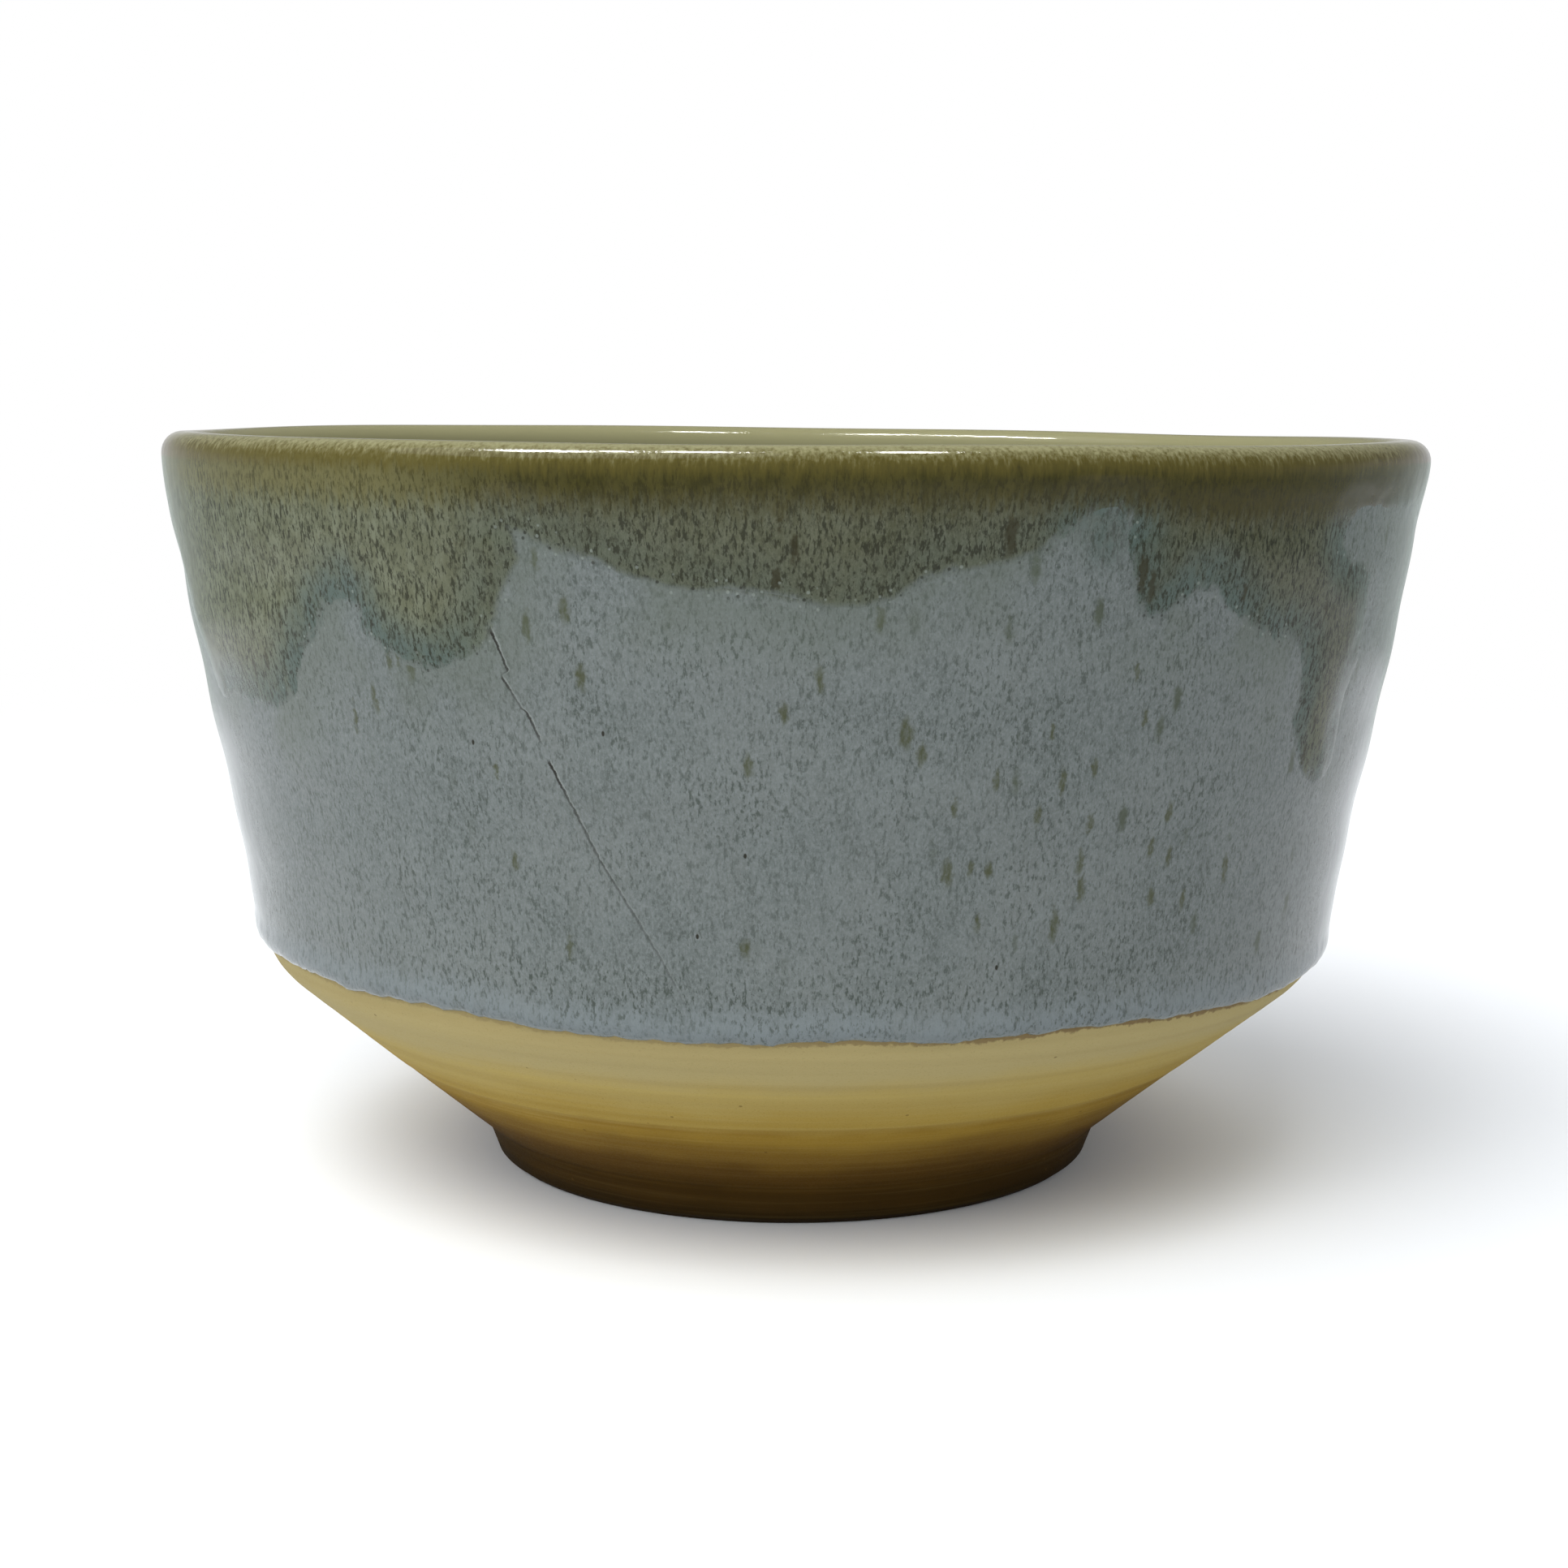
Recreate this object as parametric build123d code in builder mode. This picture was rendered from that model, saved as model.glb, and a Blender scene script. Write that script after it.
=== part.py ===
from build123d import *
import os
from math import cos, radians, sin

# Matcha bowl (chawan): one thrown and trimmed stoneware body under three fused glaze coats.
# Millimetres. +Z is up, the origin is the centre of the foot, on the surface it rests on.
# Azimuths are in degrees, anticlockwise seen from above, with 0 along +X and the front at 270.

# ---- driving dimensions ----
rim_diameter = 120.0  # over the glaze, at the lip
bowl_height = 70.2  # over the glaze, at the lip
lip_thickness = 4.0  # over the glaze; the lip is fully rounded
first_coat = 0.5  # thickness of the blue-grey glaze, outside and inside
rim_coat = 0.3  # thickness of the olive glaze, over the first coat
foot_diameter = 58.4  # over the foot ring, where it rests
foot_recess_diameter = 47.0  # inside the foot ring, where it rests
foot_recess_depth = 4.6
foot_edge = 0.6  # bevel on both edges of the foot ring
floor_height = 9.6  # clay surface in the middle of the inside

# ---- derived places of the lip, in the section ----
lip_radius = rim_diameter / 2 - lip_thickness / 2
lip_height = bowl_height - lip_thickness / 2
clay_lip = lip_thickness / 2 - first_coat - rim_coat  # radius of the bare clay lip

# ---- section of the clay, as (radius, height): up the outside, then down the inside ----
foot_radius = foot_diameter / 2
recess_radius = foot_recess_diameter / 2
foot_top = (30.6, 3.7)  # where the foot ring meets the trimmed slope
hip = (48.7, 18.9)  # where the trimmed slope starts to turn into the wall
outer_wall = [
    hip,
    (50.5, 20.6),
    (51.5, 22.7),
    (51.95, 25.0),
    (53.3, 33.7),
    (54.95, 42.1),
    (56.55, 50.5),
    (57.85, 58.3),
    (58.65, 64.0),
    (lip_radius + clay_lip, lip_height),
]
outer_wall_ends = [(1.0, 0.84), (0.0, 1.0)]  # directions
inner_wall = [
    (lip_radius - clay_lip, lip_height),
    (56.1, 62.5),
    (54.0, 50.0),
    (51.3, 38.0),
    (47.6, 28.0),
    (41.5, 20.0),
    (31.0, 14.0),
    (16.0, 10.6),
    (0.0, floor_height),
]
inner_wall_ends = [(0.0, -1.0), (-1.0, 0.0)]  # directions

# ---- lower edge of the blue-grey glaze outside: nearly level, with shallow waves ----
glaze_line_height = 22.4
glaze_line_tilt = 0.5  # how much higher the edge is at azimuth 180 than on the average
glaze_line_waves = [(0.22, 5, 40.0), (0.14, 11, 100.0), (0.08, 17, 10.0)]  # (height, count, phase)

# ---- lower edge of the olive rim glaze outside, as (azimuth, height) ----
# Overlapping dips of the rim leave scallops, with steps between them and one long run.
dip_line = [
    (207.0, 47.2),
    (213.5, 47.4),
    (219.0, 47.6),
    (222.5, 49.5),
    (224.5, 52.5),
    (227.5, 54.8),
    (229.5, 57.2),
    (232.0, 57.7),
    (233.5, 55.0),
    (236.0, 53.2),
    (239.0, 52.3),
    (242.0, 53.1),
    (245.0, 54.5),
    (246.5, 57.4),
    (248.0, 60.4),
    (248.6, 62.2),
    (247.8, 63.6),
    (250.6, 62.5),
    (256.0, 61.0),
    (260.0, 59.5),
    (265.5, 59.2),
    (272.0, 58.2),
    (277.5, 58.9),
    (281.0, 60.5),
    (285.5, 61.3),
    (289.5, 62.9),
    (292.3, 64.6),
    (294.3, 65.8),
    (295.9, 64.2),
    (296.6, 60.0),
    (298.0, 57.4),
    (300.0, 56.9),
    (302.0, 58.4),
    (304.0, 59.1),
    (307.0, 57.4),
    (310.0, 55.6),
    (314.0, 54.4),
    (317.0, 53.3),
    (318.0, 50.0),
    (318.4, 47.0),
    (320.0, 44.0),
    (322.8, 41.8),
    (325.3, 40.8),
    (327.0, 42.0),
    (327.2, 45.5),
    (327.9, 51.0),
    (328.5, 55.4),
    (327.6, 58.4),
    (325.0, 60.1),
    (321.3, 61.1),
    (320.8, 63.0),
    (322.5, 64.7),
    (329.0, 65.0),
    (337.0, 64.8),
    (345.0, 63.6),
    (353.0, 58.6),
    (362.0, 56.2),
    (370.0, 58.4),
    (375.0, 62.4),
    (384.0, 61.2),
    (396.0, 56.0),
    (408.0, 52.9),
    (417.0, 54.6),
    (422.0, 59.4),
    (427.0, 61.8),
    (438.0, 58.9),
    (449.0, 57.7),
    (458.0, 60.8),
    (466.0, 62.0),
    (476.0, 56.6),
    (487.0, 50.4),
    (495.0, 49.8),
    (500.0, 55.0),
    (505.0, 60.6),
    (514.0, 60.4),
    (526.0, 55.2),
    (538.0, 52.7),
    (547.0, 55.8),
    (553.0, 58.4),
    (559.0, 54.4),
]

# ---- lower edge of the olive rim glaze inside ----
inner_dip_height = 58.5
inner_dip_waves = [(2.2, 3, 75.0), (1.3, 7, 20.0), (0.5, 13, 160.0)]  # (height, count, phase)

# ---- cutting surfaces ----
cut_reach = 1.9  # how far a cutting surface reaches to each side of the coat that it cuts
level_facets = 120  # facets of the surfaces that cut the nearly level edges
scallop_facets = 320  # facets of the surface that cuts the scallops
wave_spacing = 6  # degrees between the points of a waved edge


def radius_at(points, height):
    """Radius of a wall at a height, along straight lines between its section points."""
    line = sorted(points, key=lambda point: point[1])
    for low, high in zip(line, line[1:]):
        if height <= high[1]:
            break
    share = (height - low[1]) / (high[1] - low[1])
    return low[0] + share * (high[0] - low[0])


def around(azimuth, radius, height):
    """A point at an azimuth, radius and height."""
    angle = radians(azimuth)
    return (radius * cos(angle), radius * sin(angle), height)


def waved(height, waves, azimuth):
    """A height with a sum of waves round the bowl added to it."""
    return height + sum(size * cos(radians(count * azimuth - phase)) for size, count, phase in waves)


def cutting_ring(edge, wall, facets):
    """A closed ribbon across the wall along a smooth edge, level in each radial direction."""
    on_wall = [around(azimuth, radius_at(wall, height), height) for azimuth, height in edge]
    smooth_edge = Spline(*on_wall, periodic=True)
    places = [smooth_edge @ (number / facets) for number in range(facets)]
    rims = []
    for reach in (cut_reach, -cut_reach):
        corners = [place + Vector(place.X, place.Y, 0).normalized() * reach for place in places]
        rims.append(Wire.make_polygon(corners, close=True))
    return Face.make_surface_from_curves(*rims)


def keep_above(ring):
    """Cut the part being built along a ring and keep only its upper piece."""
    pieces = split(bisect_by=ring, keep=Keep.ALL, mode=Mode.PRIVATE)
    add(pieces.solids().sort_by(Axis.Z)[-1], mode=Mode.REPLACE)


def grown(wall, ends, coat):
    """The points of a wall line, each moved straight out of the clay by the thickness of a coat."""
    inner_directions = [Vector(*after) - Vector(*before) for before, after in zip(wall, wall[2:])]
    directions = [Vector(*ends[0]), *inner_directions, Vector(*ends[1])]
    outward = [Vector(along.Y, -along.X).normalized() for along in directions]
    return [Vector(*point) + away * coat for point, away in zip(wall, outward)]


def coat_section(under, over, outside=True, inside=True):
    """Section of one coat, whose two surfaces lie at the heights under and over above the clay.

    It runs from the crown of the lip down the outside of the wall, down the inside, or down both.
    """
    with BuildSketch(Plane.XZ) as section:
        with BuildLine():
            ends = []
            for height in (under, over):
                lip = clay_lip + height
                outer_end = inner_end = Vector(lip_radius, lip_height + lip)
                if outside:
                    points = grown(outer_wall, outer_wall_ends, height)
                    wall = Spline(*points, tangents=outer_wall_ends, tangent_scalars=(1, 1))
                    JernArc(wall @ 1, (0, 1), lip, 90)
                    outer_end = wall @ 0
                if inside:
                    points = grown(inner_wall, inner_wall_ends, height)
                    wall = Spline(*points, tangents=inner_wall_ends, tangent_scalars=(1, 1))
                    JernArc(wall @ 0, (0, 1), lip, -90)
                    inner_end = wall @ 1
                ends.append((outer_end, inner_end))
            for low_end, high_end in zip(*ends):
                Line(low_end, high_end)
        make_face()
    return section.sketch


# ---- section of the bare clay ----
with BuildSketch(Plane.XZ) as clay_section:
    with BuildLine():
        wall_line = Spline(*outer_wall, tangents=outer_wall_ends, tangent_scalars=(1, 1))
        inside_line = Spline(*inner_wall, tangents=inner_wall_ends, tangent_scalars=(1, 1))
        ThreePointArc(wall_line @ 1, (lip_radius, lip_height + clay_lip), inside_line @ 0)
        Polyline(
            inside_line @ 1,
            (0.0, foot_recess_depth),
            (recess_radius, foot_recess_depth),
            (recess_radius, 0.0),
            (foot_radius, 0.0),
            foot_top,
            hip,
        )
    make_face()
    foot_corners = clay_section.vertices().group_by(Axis.Y)[0]
    chamfer(foot_corners, foot_edge)

# ---- stoneware body ----
with BuildPart() as stoneware_body:
    add(clay_section.sketch)
    revolve(axis=Axis.Z)
stoneware_body.part.label = "stoneware_body"

# ---- blue-grey glaze, outside: ends in a nearly level edge at the hip ----
glaze_line = [
    (azimuth, waved(glaze_line_height, glaze_line_waves, azimuth) - glaze_line_tilt * cos(radians(azimuth)))
    for azimuth in range(0, 360, wave_spacing)
]
with BuildPart() as outer_glaze:
    add(coat_section(0.0, first_coat, inside=False))
    revolve(axis=Axis.Z)
    keep_above(cutting_ring(glaze_line, outer_wall, level_facets))
outer_glaze.part.label = "outer_glaze"

# ---- blue-grey glaze, inside: a liner from the lip down over the whole floor ----
with BuildPart() as inner_glaze:
    add(coat_section(0.0, first_coat, outside=False))
    revolve(axis=Axis.Z)
inner_glaze.part.label = "inner_glaze"

# ---- olive glaze over the lip: scalloped outside, wavy inside ----
inner_dip_line = [
    (azimuth, waved(inner_dip_height, inner_dip_waves, azimuth)) for azimuth in range(0, 360, wave_spacing)
]
with BuildPart() as rim_glaze:
    add(coat_section(first_coat, first_coat + rim_coat))
    revolve(axis=Axis.Z)
    keep_above(cutting_ring(dip_line, outer_wall, scallop_facets))
    keep_above(cutting_ring(inner_dip_line, inner_wall, level_facets))
rim_glaze.part.label = "rim_glaze"

os.makedirs("parts", exist_ok=True)
for piece in (stoneware_body, outer_glaze, inner_glaze, rim_glaze):
    export_step(piece.part, f"parts/{piece.part.label}.step")
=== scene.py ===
import math

import bpy
import numpy as np
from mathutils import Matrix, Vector, noise
from mathutils.bvhtree import BVHTree


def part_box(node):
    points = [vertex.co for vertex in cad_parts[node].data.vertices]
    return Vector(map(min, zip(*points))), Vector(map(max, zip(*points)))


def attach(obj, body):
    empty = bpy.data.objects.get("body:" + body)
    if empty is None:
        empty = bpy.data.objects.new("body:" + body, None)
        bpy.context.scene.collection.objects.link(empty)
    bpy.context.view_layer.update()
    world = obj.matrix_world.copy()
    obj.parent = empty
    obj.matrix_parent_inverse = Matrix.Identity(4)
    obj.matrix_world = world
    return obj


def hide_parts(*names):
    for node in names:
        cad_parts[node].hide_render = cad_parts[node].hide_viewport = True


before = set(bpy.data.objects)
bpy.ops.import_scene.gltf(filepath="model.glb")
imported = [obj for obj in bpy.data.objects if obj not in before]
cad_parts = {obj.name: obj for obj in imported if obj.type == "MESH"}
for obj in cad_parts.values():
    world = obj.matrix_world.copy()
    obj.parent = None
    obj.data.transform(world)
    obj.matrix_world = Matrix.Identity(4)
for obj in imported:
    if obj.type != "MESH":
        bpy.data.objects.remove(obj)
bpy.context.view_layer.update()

# Matcha bowl: a trimmed stoneware body, glazed blue-grey inside and out, its rim dipped again in olive glaze.
# Metres, in the frame of the CAD model: +Z is up and the front faces -Y.
# An angle is in degrees from the front, positive to the right as seen from the front.

MM = 0.001
BODY = "stoneware_body"
OUTSIDE = "outer_glaze"
INSIDE = "inner_glaze"
RIM = "rim_glaze"
EXACTLY_ON = 1e-6  # a CAD vertex this close to a plane lies on it
FAR = 30 * MM  # stands for any larger distance from the edge of the dip


# ---------------- sizes read from the CAD nodes
def node_points(node):
    """The vertices of a CAD node, one row each."""
    return np.array([vertex.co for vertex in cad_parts[node].data.vertices])


def widest(node):
    """The largest distance of a CAD node from the bowl's axis."""
    points = node_points(node)
    return float(np.hypot(points[:, 0], points[:, 1]).max())


FIRST_COAT = widest(OUTSIDE) - widest(BODY)
RIM_COAT = widest(RIM) - widest(OUTSIDE)
CLAY_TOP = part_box(BODY)[1].z
BOWL_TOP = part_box(RIM)[1].z


def foot_radius():
    """The clay's largest distance from the axis where it rests on the table."""
    points = node_points(BODY)
    return float(np.hypot(points[:, 0], points[:, 1])[points[:, 2] < EXACTLY_ON].max())


FOOT_OUTER = foot_radius()


def section_edges(node):
    """Which points of a CAD node's section at azimuth 0 are joined, each point a (radius, height) pair."""
    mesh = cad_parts[node].data
    points = {}
    for vertex in mesh.vertices:
        x, y, z = vertex.co
        if abs(y) < EXACTLY_ON and x > -EXACTLY_ON:
            points[vertex.index] = (round(max(x, 0.0), 6), round(z, 6))
    joined = {}
    for edge in mesh.edges:
        first, second = (points.get(index) for index in edge.vertices)
        if first and second and first != second:
            joined.setdefault(first, set()).add(second)
            joined.setdefault(second, set()).add(first)
    return joined


def clay_section():
    """The clay's section, from the middle of the foot recess over the lip to the middle of the floor."""
    joined = section_edges(BODY)
    here = min(joined)
    path = [here]
    while True:
        onward = [point for point in joined[here] if point not in path]
        if not onward:
            break
        here = min(onward, key=lambda point: math.dist(point, here))
        path.append(here)
    path.append((0.0, here[1]))
    return np.array(path[::-1])


CORNER_TURN = 20.0  # degrees
PATH_STEP = 0.05 * MM
BEFORE_NEXT = 1 - 1e-6  # the share of a span that keeps its last point off the next span's first


def smooth_path(points):
    """A closely spaced path through the points, curved between corners."""
    spans = np.diff(points, axis=0)
    lengths = np.hypot(spans[:, 0], spans[:, 1])
    headings = spans / lengths[:, None]
    turns = np.degrees(np.arccos(np.clip((headings[1:] * headings[:-1]).sum(1), -1, 1)))
    corner = np.concatenate([[True], turns > CORNER_TURN, [True]])
    blended = headings[:-1] * lengths[1:, None] + headings[1:] * lengths[:-1, None]
    blended /= np.hypot(blended[:, 0], blended[:, 1])[:, None]
    pieces = []
    for i, (length, heading) in enumerate(zip(lengths, headings)):
        leave = heading if corner[i] else blended[i - 1]
        arrive = heading if corner[i + 1] else blended[i]
        t = np.arange(0, BEFORE_NEXT, min(1.0, PATH_STEP / length))[:, None]
        pieces.append(
            points[i] * (2 * t**3 - 3 * t**2 + 1)
            + points[i + 1] * (3 * t**2 - 2 * t**3)
            + leave * length * (t**3 - 2 * t**2 + t)
            + arrive * length * (t**3 - t**2)
        )
    return np.concatenate(pieces + [points[-1:]])


class Section:
    """The clay's section by arc length, with its outward normal."""

    def __init__(self, points):
        self.path = smooth_path(points)
        steps = np.diff(self.path, axis=0)
        self.length = np.concatenate([[0], np.cumsum(np.hypot(steps[:, 0], steps[:, 1]))])
        slope = np.gradient(self.path, self.length, axis=0)
        slope /= np.hypot(slope[:, 0], slope[:, 1])[:, None]
        self.normal = np.stack([slope[:, 1], -slope[:, 0]], axis=1)

    def at(self, length, out=0.0):
        """Radius and height at an arc length, a distance out of the clay."""
        found = []
        for axis in (0, 1):
            base = np.interp(length, self.length, self.path[:, axis])
            away = np.interp(length, self.length, self.normal[:, axis])
            found.append(base + away * out)
        return found

    def where(self, height, inside=False):
        """The arc length at a height of the wall, outside or inside."""
        crown = int(np.argmax(self.path[:, 1]))
        if inside:
            return np.interp(height, self.path[crown:, 1][::-1], self.length[crown:][::-1])
        foot = int(np.argmax(self.path[:, 0] > FOOT_OUTER * 0.999))
        return np.interp(height, self.path[foot:crown, 1], self.length[foot:crown])


section = Section(clay_section())
CROWN = float(section.length[int(np.argmax(section.path[:, 1]))])
END = float(section.length[-1])
EDGE_SPACING = 2.0  # degrees between the points of the glaze edge
EDGE_REACH = 1.6  # degrees to each side in which its lowest vertex is looked for


def edge_line():
    """The lower edge of the outer glaze: azimuths and heights, in order, once round."""
    points = node_points(OUTSIDE)
    azimuth = np.degrees(np.arctan2(points[:, 1], points[:, 0])) % 360
    places = np.arange(0, 360, EDGE_SPACING)
    lowest = []
    for place in places:
        near = np.abs((azimuth - place + 180) % 360 - 180) < EDGE_REACH
        lowest.append(points[near][:, 2].min())
    return places, np.array(lowest)


edge_azimuths, edge_heights = edge_line()


def glaze_edge(azimuth):
    """The height of the blue-grey glaze's lower edge at an azimuth in degrees."""
    return np.interp(azimuth % 360, np.append(edge_azimuths, 360), np.append(edge_heights, edge_heights[0]))


UNCUT = CLAY_TOP - 3.5 * MM  # above this height the rim glaze covers everything
CUT_FACE = 0.6  # the most that a face across the coat leans out of the wall's direction
THROUGH_COAT = 3 * MM


def dip_walls():
    """Search trees over the rim glaze: its cut faces outside, its cut faces inside, and all its faces."""
    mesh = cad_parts[RIM].data
    vertices = [vertex.co for vertex in mesh.vertices]
    outer, inner = [], []
    for face in mesh.polygons:
        away = Vector((face.center.x, face.center.y, 0)).normalized()
        if face.center.z < UNCUT and abs(face.normal.dot(away)) < CUT_FACE:
            sides = (section.at(section.where(face.center.z, inner_side))[0] for inner_side in (False, True))
            wall_middle = sum(sides) / 2
            radius = math.hypot(face.center.x, face.center.y)
            (outer if radius > wall_middle else inner).append(tuple(face.vertices))
    everything = [tuple(face.vertices) for face in mesh.polygons]
    return (
        BVHTree.FromPolygons(vertices, outer),
        BVHTree.FromPolygons(vertices, inner),
        BVHTree.FromPolygons(vertices, everything),
    )


outer_cut, inner_cut, whole_coat = dip_walls()


def past_dip(azimuth, length):
    """Distance from the rim glaze's edge at points of the clay's section, positive where the glaze lies."""
    radius, height = section.at(length, FIRST_COAT + RIM_COAT / 2)
    inside = length > CROWN
    found = np.empty(azimuth.shape)
    for index in np.ndindex(azimuth.shape):
        turn, r, z = azimuth[index], radius[index], height[index]
        point = Vector((r * math.cos(turn), r * math.sin(turn), z))
        covered = z > UNCUT
        if not covered:
            away = Vector((math.cos(turn), math.sin(turn), 0)) * (-1 if inside[index] else 1)
            covered = whole_coat.ray_cast(point, away, THROUGH_COAT)[0] is not None
        tree = inner_cut if inside[index] else outer_cut
        distance = tree.find_nearest(point, FAR)[3]
        distance = FAR if distance is None else distance
        found[index] = distance if covered else -distance
    return found


# ---------------- the handmade shape
# Each range of heights or radii is where an effect fades in.
TILT = 0.00873
TWIST = 0.052
TILT_RANGE = (5 * MM, 22 * MM)
LEAN = 0.3 * MM
OVAL = 0.0012
OVAL_PHASE = 0.7
THROWING = 0.07 * MM
RING_PITCH = 9.5 * MM
RING_WANDER = 0.6
RING_HEIGHTS = (24 * MM, 32 * MM)
RING_RADII = (20 * MM, 40 * MM)
SLACK = 0.05 * MM
SLACK_RADII = (5 * MM, 30 * MM)
LIP_WAVE = 0.10 * MM
LIP_WAVE_HEIGHTS = (60 * MM, 69 * MM)


def smoothstep(value, low, high):
    """0 below low, 1 above high, and a smooth rise between."""
    t = np.clip((value - low) / (high - low), 0, 1)
    return t * t * (3 - 2 * t)


def wave(azimuth, seed, counts):
    """A smooth periodic wander round the bowl, within about -1 to 1."""
    rng = np.random.default_rng(seed)
    total = np.zeros_like(azimuth)
    for count in counts:
        total += np.sin(azimuth * count + rng.uniform(0, math.tau)) * rng.uniform(0.5, 1)
    return total / math.sqrt(len(counts))


def handmade(points):
    """The points, moved as a hand-thrown bowl departs from a true revolve; the foot stays on the table."""
    x, y, z = points.T.copy()
    azimuth = np.arctan2(y, x)
    radius = np.hypot(x, y)
    share = smoothstep(z, *TILT_RANGE)
    rise = np.clip(z / BOWL_TOP, 0, 1)
    swell = 1 + OVAL * rise * np.cos(2 * azimuth + OVAL_PHASE)
    rings = THROWING * np.sin(math.tau * z / RING_PITCH + azimuth + RING_WANDER * wave(azimuth, 3, (2, 3)))
    wall = smoothstep(z, *RING_HEIGHTS) * smoothstep(radius, *RING_RADII)
    slack = SLACK * wave(azimuth, 5, (3, 4, 5, 7)) * rise
    grow = radius * (swell - 1) + (rings * wall + slack) * smoothstep(radius, *SLACK_RADII)
    near_lip = smoothstep(z, *LIP_WAVE_HEIGHTS)
    lifted = z + share * (-x * TILT - x * y * TWIST) + near_lip * LIP_WAVE * wave(azimuth, 8, (3, 5, 8))
    return np.stack([
        (radius + grow) * np.cos(azimuth) + LEAN * rise,
        (radius + grow) * np.sin(azimuth),
        lifted,
    ], axis=1)


# ---------------- meshes
def placed(name, data):
    """A new object in the scene."""
    made = bpy.data.objects.new(name, data)
    bpy.context.scene.collection.objects.link(made)
    return made


def add_piece(name, node, points, faces, marks=None):
    """A smooth mesh that stands for a CAD node on the root body.

    Marks are values at the vertices, which its material reads.
    """
    mesh = bpy.data.meshes.new(name)
    mesh.from_pydata(handmade(points).tolist(), [], faces)
    mesh.validate()
    mesh.polygons.foreach_set("use_smooth", [True] * len(mesh.polygons))
    for mark, values in (marks or {}).items():
        attribute = mesh.attributes.new(mark, "FLOAT", "POINT")
        attribute.data.foreach_set("value", np.asarray(values, dtype=np.float32))
    mesh.update()
    piece = placed(name, mesh)
    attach(piece, "root")
    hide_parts(node)
    return piece


def turned(radius, height, azimuth):
    """Points of a grid of radii and heights at each column's azimuth."""
    return np.stack([radius * np.cos(azimuth), radius * np.sin(azimuth), height], axis=-1).reshape(-1, 3)


def grid_faces(rows, columns, wrap_rows=False):
    """Quads over a grid that closes round its columns, and over its rows where they wrap."""
    faces = []
    for row in range(rows if wrap_rows else rows - 1):
        here, above = row * columns, (row + 1) % rows * columns
        for column in range(columns):
            onward = (column + 1) % columns
            faces.append((here + column, here + onward, above + onward, above + column))
    return faces


def pole_faces(row, columns, pole, upward):
    """Triangles from one row of a grid to a pole."""
    faces = []
    for column in range(columns):
        onward = (column + 1) % columns
        first, second = row * columns + column, row * columns + onward
        faces.append((first, second, pole) if upward else (second, first, pole))
    return faces


def azimuths(columns):
    """Column azimuths once round."""
    return np.arange(columns) * math.tau / columns


def stations(*stretches):
    """Arc lengths from stretches of (start, end, step)."""
    runs = []
    for start, end, step in stretches:
        runs.append(np.linspace(start, end, max(1, round((end - start) / step)), endpoint=False))
    return np.concatenate([*runs, [stretches[-1][1]]])


BODY_COLUMNS = 360
GLAZE_COLUMNS = 600
RIM_COLUMNS = 540
LINER_COLUMNS = 480

JUST_ABOVE_TABLE = 0.05 * MM
SLOPE_TOP = 24 * MM
BARE_ENDS = (20 * MM, 23 * MM)
SHAVED = 0.05 * MM
TRIM_RELIEF = 0.02 * MM
FINE_LINES = (1.9, 0.3, 0.1)  # turning lines per millimetre of section, then a slice of the noise
COARSE_LINES = (0.55, 5.3, 2.1)
COARSE_SHARE = 1.1
CALM_HEIGHTS = (7 * MM, 13 * MM)
LEDGE_HEIGHTS = (11.7 * MM, 12.0 * MM)
LEDGE = 0.05 * MM
POLE_MARKS = (50, -50)  # the poles' heights below the glaze: anything far from it


def lines_along(lengths, kind):
    """One noise value for each arc length, as a column."""
    scale, *place = kind
    return np.array([noise.noise(Vector((value / MM * scale, *place))) for value in lengths])[:, None]


def build_body():
    """The stoneware: foot ring, slope and wall, with the turning lines of trimming in the bare clay."""
    foot = section.where(JUST_ABOVE_TABLE)
    slope_top = section.where(SLOPE_TOP)
    lengths = stations(
        (0.5 * MM, 22.5 * MM, 2.5 * MM),
        (22.5 * MM, foot - 0.8 * MM, 0.35 * MM),
        (foot - 0.8 * MM, foot + 4.5 * MM, 0.16 * MM),
        (foot + 4.5 * MM, slope_top, 0.22 * MM),
        (slope_top, CROWN - 3 * MM, 2.5 * MM),
        (CROWN - 3 * MM, CROWN + 3 * MM, 0.5 * MM),
        (CROWN + 3 * MM, END - 1 * MM, 2.5 * MM),
    )
    turn, length = np.meshgrid(azimuths(BODY_COLUMNS), lengths)
    radius, height = section.at(length)
    bare = smoothstep(length, foot - 1 * MM, foot + 1 * MM) * (1 - smoothstep(height, *BARE_ENDS))
    fine = lines_along(lengths, FINE_LINES)
    coarse = lines_along(lengths, COARSE_LINES)
    drift = wave(turn, 11, (1, 2, 3))
    calm = 0.35 + 0.65 * smoothstep(height, *CALM_HEIGHTS)
    relief = (fine * TRIM_RELIEF * (1 + 0.4 * drift) + coarse * COARSE_SHARE * TRIM_RELIEF) * bare * calm
    ledge = LEDGE * smoothstep(height, *LEDGE_HEIGHTS) * bare
    radius, height = section.at(length, relief - SHAVED * bare + ledge)
    height = np.where(length < foot, np.maximum(section.at(length)[1], 0), height)
    points = turned(radius, height, turn)
    below = (glaze_edge(np.degrees(turn)) - height) / MM
    rows, columns = length.shape
    poles = np.array([[0, 0, section.path[0, 1]], [0, 0, section.path[-1, 1]]])
    faces = grid_faces(rows, columns)
    faces += pole_faces(0, columns, len(points), False)
    faces += pole_faces(rows - 1, columns, len(points) + 1, True)
    marks = {"below_glaze": np.append(below.reshape(-1), POLE_MARKS)}
    return add_piece("stoneware", BODY, np.concatenate([points, poles]), faces, marks)


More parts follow.
